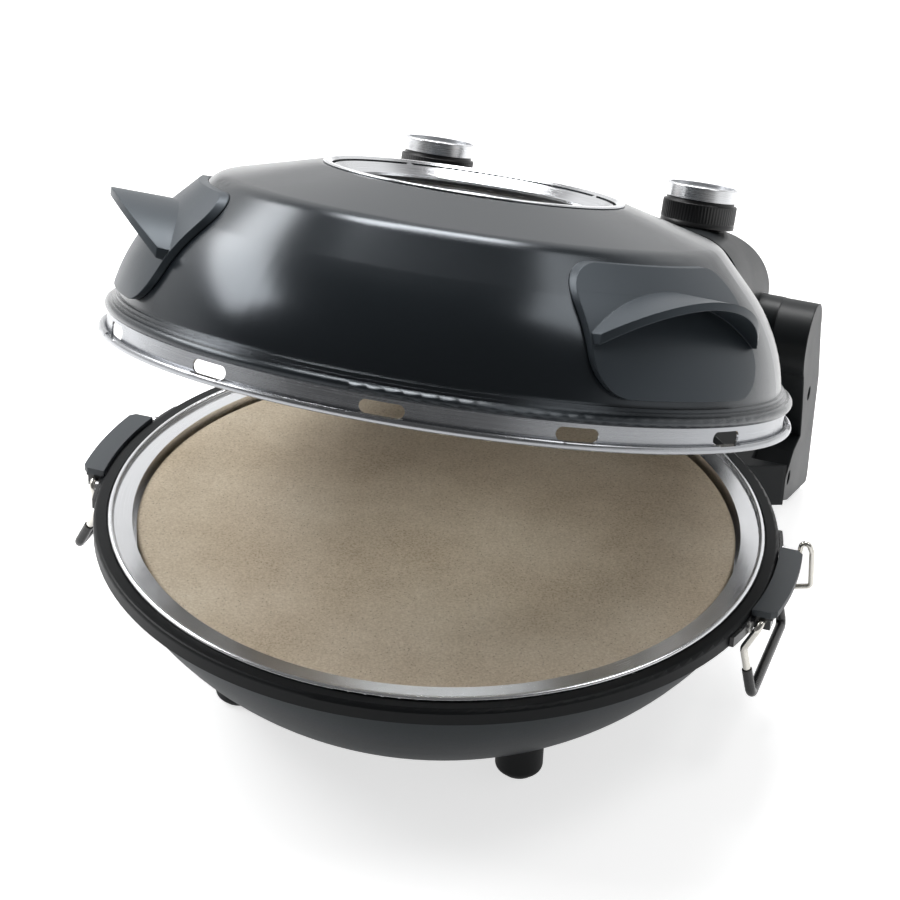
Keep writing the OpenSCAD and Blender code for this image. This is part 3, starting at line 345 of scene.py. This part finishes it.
FINISHES = {
    M_BASE: ["base_shell"],
    M_RIM: ["base_rim", "cord_gland"],
    M_TRIM: ["trim_ring"],
    M_REFLECT: ["lower_reflector"],
    M_ROD: ["lower_heater", "upper_heater"],
    M_CLIP: ["lower_heater_clips", "upper_heater_clips"],
    M_STONE: ["pizza_stone"],
    M_FOOT: ["feet"],
    M_RUBBER: ["foot_pads"],
    M_ZINC: ["foot_screws", "foot_nuts", "bracket_screws", "ear_screws", "rear_bracket_screws",
             "tower_screws", "hinge_pins", "retainer_screws", "wing_screws", "housing_screws",
             "thermostat_shaft", "timer_shaft"],
    M_ALU: ["reflector_spacers"],
    M_EAR: ["ear_right", "ear_left"],
    M_BRACKET: ["latch_bracket_right", "latch_bracket_left"],
    M_WIRE: ["lever_wire_right", "lever_wire_left", "catch_loop_right", "catch_loop_left"],
    M_SLEEVE: ["lever_grip_right", "lever_grip_left"],
    M_TOWER: ["hinge_tower_right", "hinge_tower_left", "rear_bracket"],
    M_LID: ["lid_shell"],
    M_BAND: ["lid_band"],
    M_LINER: ["lid_reflector", "window_retainer"],
    M_BEZEL: ["window_bezel"],
    M_GASKET: ["window_gasket"],
    M_GLASS: ["window_glass"],
    M_WING: ["wing_handle_right", "wing_handle_left"],
    M_HOUSE: ["control_housing", "housing_cover"],
    M_LAMP: ["pilot_lamp"],
    M_SWITCH: ["thermostat"],
    M_TIMER: ["timer"],
    M_KNOB: ["thermostat_knob", "timer_knob"],
    cap_material("right"): ["thermostat_knob_cap"],
    cap_material("left"): ["timer_knob_cap"],
}


def wear(obj, material):
    if not obj.material_slots:
        obj.data.materials.append(material)
    for s in obj.material_slots:
        s.material = material


for material, names in FINISHES.items():
    for name in names:
        wear(frame["nodes"][name], material)


# ---------------------------------------------------------------- pieces

def lathe(name, profile, steps, matrix, material, ribs=0, depth=0.0, sharp=40):
    """A turned piece: profile is (radius, height, ribbed) in mm, from the axis back to it."""
    bm = bmesh.new()
    rings = []
    per_rib = steps // ribs if ribs else 1
    for i in range(steps):
        a = 2 * math.pi * i / steps
        cut = depth * (0.5 - 0.5 * math.cos(2 * math.pi * (i % per_rib) / per_rib)) if ribs else 0
        ring = []
        for r, z, ribbed in profile:
            rr = (r - cut * ribbed) * MM
            ring.append(bm.verts.new((rr * math.cos(a), rr * math.sin(a), z * MM)))
        rings.append(ring)
    for i in range(steps):
        here, following = rings[i], rings[(i + 1) % steps]
        for j in range(len(profile) - 1):
            bm.faces.new((here[j], following[j], following[j + 1], here[j + 1]))
    bmesh.ops.remove_doubles(bm, verts=bm.verts, dist=1e-7)
    bmesh.ops.recalc_face_normals(bm, faces=bm.faces)
    bmesh.ops.transform(bm, matrix=matrix, verts=bm.verts)
    mesh = bpy.data.meshes.new(name)
    bm.to_mesh(mesh)
    bm.free()
    for p in mesh.polygons:
        p.use_smooth = True
    mesh.set_sharp_from_angle(angle=math.radians(sharp))
    obj = new_object(name, mesh)
    wear(obj, material)
    return obj


def arc(cx, cz, r, a0, a1, n):
    """Smooth profile points on an arc, from angle a0 to a1 in degrees."""
    angles = [math.radians(a0 + (a1 - a0) * i / n) for i in range(n + 1)]
    return [(cx + r * math.cos(a), cz + r * math.sin(a), 0) for a in angles]


def knob_skirt(name, x, body, node):
    """Knob skirt with fine upright ribs, a smooth foot and a groove under the metal cap."""
    bore_r, bore_top = 3.05, 12
    hub_r, wall_r, hollow_top = 6, 18, 12.4
    outer, line_r, neck_r = 20.6, 20.45, 19.0
    foot_edge, top_edge = 0.4, 0.5
    ribs, steps_per_rib, rib_depth = 72, 5, 0.25
    profile = [(0, bore_top, 0), (bore_r, bore_top, 0), (bore_r, 0, 0), (hub_r, 0, 0),
               (hub_r, hollow_top, 0), (wall_r, hollow_top, 0), (wall_r, 0, 0)]
    profile += arc(outer - foot_edge, foot_edge, foot_edge, -90, 0, 4)
    profile += [(outer, 2.4, 0), (line_r, 2.6, 0), (line_r, 3.0, 0), (outer, 3.3, 1),
                (outer, 12.3, 1)]
    profile += arc(outer - top_edge, 12.4, top_edge, 10, 90, 4)
    profile += [(19.2, 13.0, 0), (neck_r, 13.3, 0), (neck_r, 14.7, 0), (19.3, 15.0, 0),
                (0, 15, 0)]
    at = LID @ Matrix.Translation((x, KNOB_Y, KNOB_Z))
    obj = lathe(name, profile, ribs * steps_per_rib, at, M_KNOB, ribs=ribs, depth=rib_depth)
    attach(obj, body)
    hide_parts(node)


def baking_stone():
    """The stone's disc with a soft edge, as large as its solid."""
    low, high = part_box("pizza_stone")
    r = high[0] / MM
    h = (high[2] - low[2]) / MM
    edge = 1.8
    profile = [(0, 0, 0)] + arc(r - edge, edge, edge, -90, 0, 6)
    profile += arc(r - edge, h - edge, edge, 0, 90, 6) + [(0, h, 0)]
    stone = lathe("baking_stone", profile, 256, Matrix.Translation((0, 0, low[2])), M_STONE,
                  sharp=50)
    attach(stone, "stone")
    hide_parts("pizza_stone")


knob_skirt("thermostat_skirt", KNOB_X, "thermostat_control", "thermostat_knob")
knob_skirt("timer_skirt", -KNOB_X, "timer_control", "timer_knob")
baking_stone()


# ---------------------------------------------------------------- camera

FRAME_PX, SENSOR_MM = 900, 36
AZ, EL, ROLL = (math.radians(a) for a in (17.438, 30.177, 2.539))
DISTANCE, FOCAL_PX = 1.645394, 2744.83
TARGET = Vector((-0.059782, 0.207627, 0))


def make_camera():
    """Camera at DISTANCE from TARGET, turned by ROLL about the way it looks."""
    back = Vector((math.sin(AZ) * math.cos(EL), -math.cos(AZ) * math.cos(EL), math.sin(EL)))
    level = Vector((math.cos(AZ), math.sin(AZ), 0))
    upright = back.cross(level)
    right = level * math.cos(ROLL) + upright * math.sin(ROLL)
    up = upright * math.cos(ROLL) - level * math.sin(ROLL)
    turn = Matrix((right, up, back)).transposed().to_4x4()
    camera = new_object("camera", bpy.data.cameras.new("camera"))
    camera.matrix_world = Matrix.Translation(TARGET + back * DISTANCE) @ turn
    camera.data.sensor_fit = "HORIZONTAL"
    camera.data.sensor_width = SENSOR_MM
    camera.data.lens = FOCAL_PX / FRAME_PX * SENSOR_MM
    camera.data.clip_start = 0.05
    camera.data.clip_end = 50
    bpy.context.scene.camera = camera


make_camera()


# ---------------------------------------------------------------- room and light

FLOOR_HALF = 9.0        # half the floor's side in metres
FLOOR_GREY = 0.8
GLOW_SEEN = 0.68        # whiteness added to the floor where the camera sees it
GLOW_MIRRORED = 0.40    # and where metal or glass shows it

PALE, DIM = 0.95, 0.13              # the room's brightness low down and overhead
PALE_UP_TO, DIM_FROM = 0.17, 0.5    # heights of the ray's direction where each begins
LIFT_BEHIND = -0.35                 # carries the pale part higher behind the object
DROP_BEFORE = -0.40                 # and lower in front of it

LIT_POINT = Vector((0, 0.05, 0.12))

# name: azimuth and elevation in degrees, distance, width and height in metres, radiance
SOFTBOXES = {
    "key_softbox": (-158, 62, 1.6, 0.95, 0.40, 18.0),
    "left_softbox": (-93, 38, 1.5, 1.2, 0.5, 8.5),
    "right_softbox": (107, 57, 1.5, 0.7, 0.5, 3.7),
}


def seen_glow(nt):
    """Added whiteness of the floor, only for rays that show it and not for those that light."""
    path = add(nt, "LightPath")
    mirrored = calc(nt, "MAXIMUM", path.outputs["Is Glossy Ray"],
                    path.outputs["Is Transmission Ray"])
    mirrored = calc(nt, "MULTIPLY", mirrored, GLOW_MIRRORED)
    direct = calc(nt, "MULTIPLY", path.outputs["Is Camera Ray"], GLOW_SEEN)
    return calc(nt, "MAXIMUM", direct, mirrored)


def floor():
    mesh = bpy.data.meshes.new("floor")
    corners = [(-1, -1), (1, -1), (1, 1), (-1, 1)]
    mesh.from_pydata([(x * FLOOR_HALF, y * FLOOR_HALF, 0) for x, y in corners], [],
                     [(0, 1, 2, 3)])
    obj = new_object("floor", mesh)
    m = bpy.data.materials.new("floor")
    nt = empty_tree(m)
    diffuse = add(nt, "BsdfDiffuse", {"Color": (FLOOR_GREY, FLOOR_GREY, FLOOR_GREY, 1)})
    glow = add(nt, "Emission", {"Color": (1, 1, 1, 1), "Strength": seen_glow(nt)})
    both = add(nt, "AddShader", {0: diffuse.outputs[0], 1: glow.outputs[0]})
    add(nt, "OutputMaterial", {"Surface": both.outputs[0]})
    mesh.materials.append(m)


def world():
    """Pale near the horizon, higher up behind the object, and dimmer overhead and in front.

    The camera itself sees it white.
    """
    w = bpy.data.worlds.new("room")
    bpy.context.scene.world = w
    nt = empty_tree(w)
    way = add(nt, "SeparateXYZ", {0: add(nt, "TexCoord").outputs["Generated"]})
    behind = calc(nt, "MAXIMUM", way.outputs[1], 0.0)
    before = calc(nt, "MINIMUM", way.outputs[1], 0.0)
    lifted = calc(nt, "MULTIPLY_ADD", behind, LIFT_BEHIND, way.outputs[2])
    z = calc(nt, "MULTIPLY_ADD", before, DROP_BEFORE, lifted)
    level = add(nt, "MapRange", {"Value": z, "From Min": PALE_UP_TO, "From Max": DIM_FROM,
                                 "To Min": PALE, "To Max": DIM},
                interpolation_type="SMOOTHSTEP").outputs["Result"]
    level = calc(nt, "MAXIMUM", level, add(nt, "LightPath").outputs["Is Camera Ray"])
    bg = add(nt, "Background", {"Color": (1, 1, 1, 1), "Strength": level})
    add(nt, "OutputWorld", {"Surface": bg.outputs[0]})


def softbox(name, az, el, distance, width, height, radiance):
    """Soft area lamp: azimuth 0 is the front and 90 is +X."""
    a, e = math.radians(az), math.radians(el)
    way = Vector((math.sin(a) * math.cos(e), -math.cos(a) * math.cos(e), math.sin(e)))
    light = bpy.data.lights.new(name, "AREA")
    light.shape = "RECTANGLE"
    light.size, light.size_y = width, height
    light.energy = radiance * math.pi * width * height
    obj = new_object(name, light)
    obj.location = LIT_POINT + way * distance
    obj.rotation_euler = way.to_track_quat("Z", "Y").to_euler()


floor()
world()
for name, numbers in SOFTBOXES.items():
    softbox(name, *numbers)

bpy.context.scene.view_settings.view_transform = "Standard"
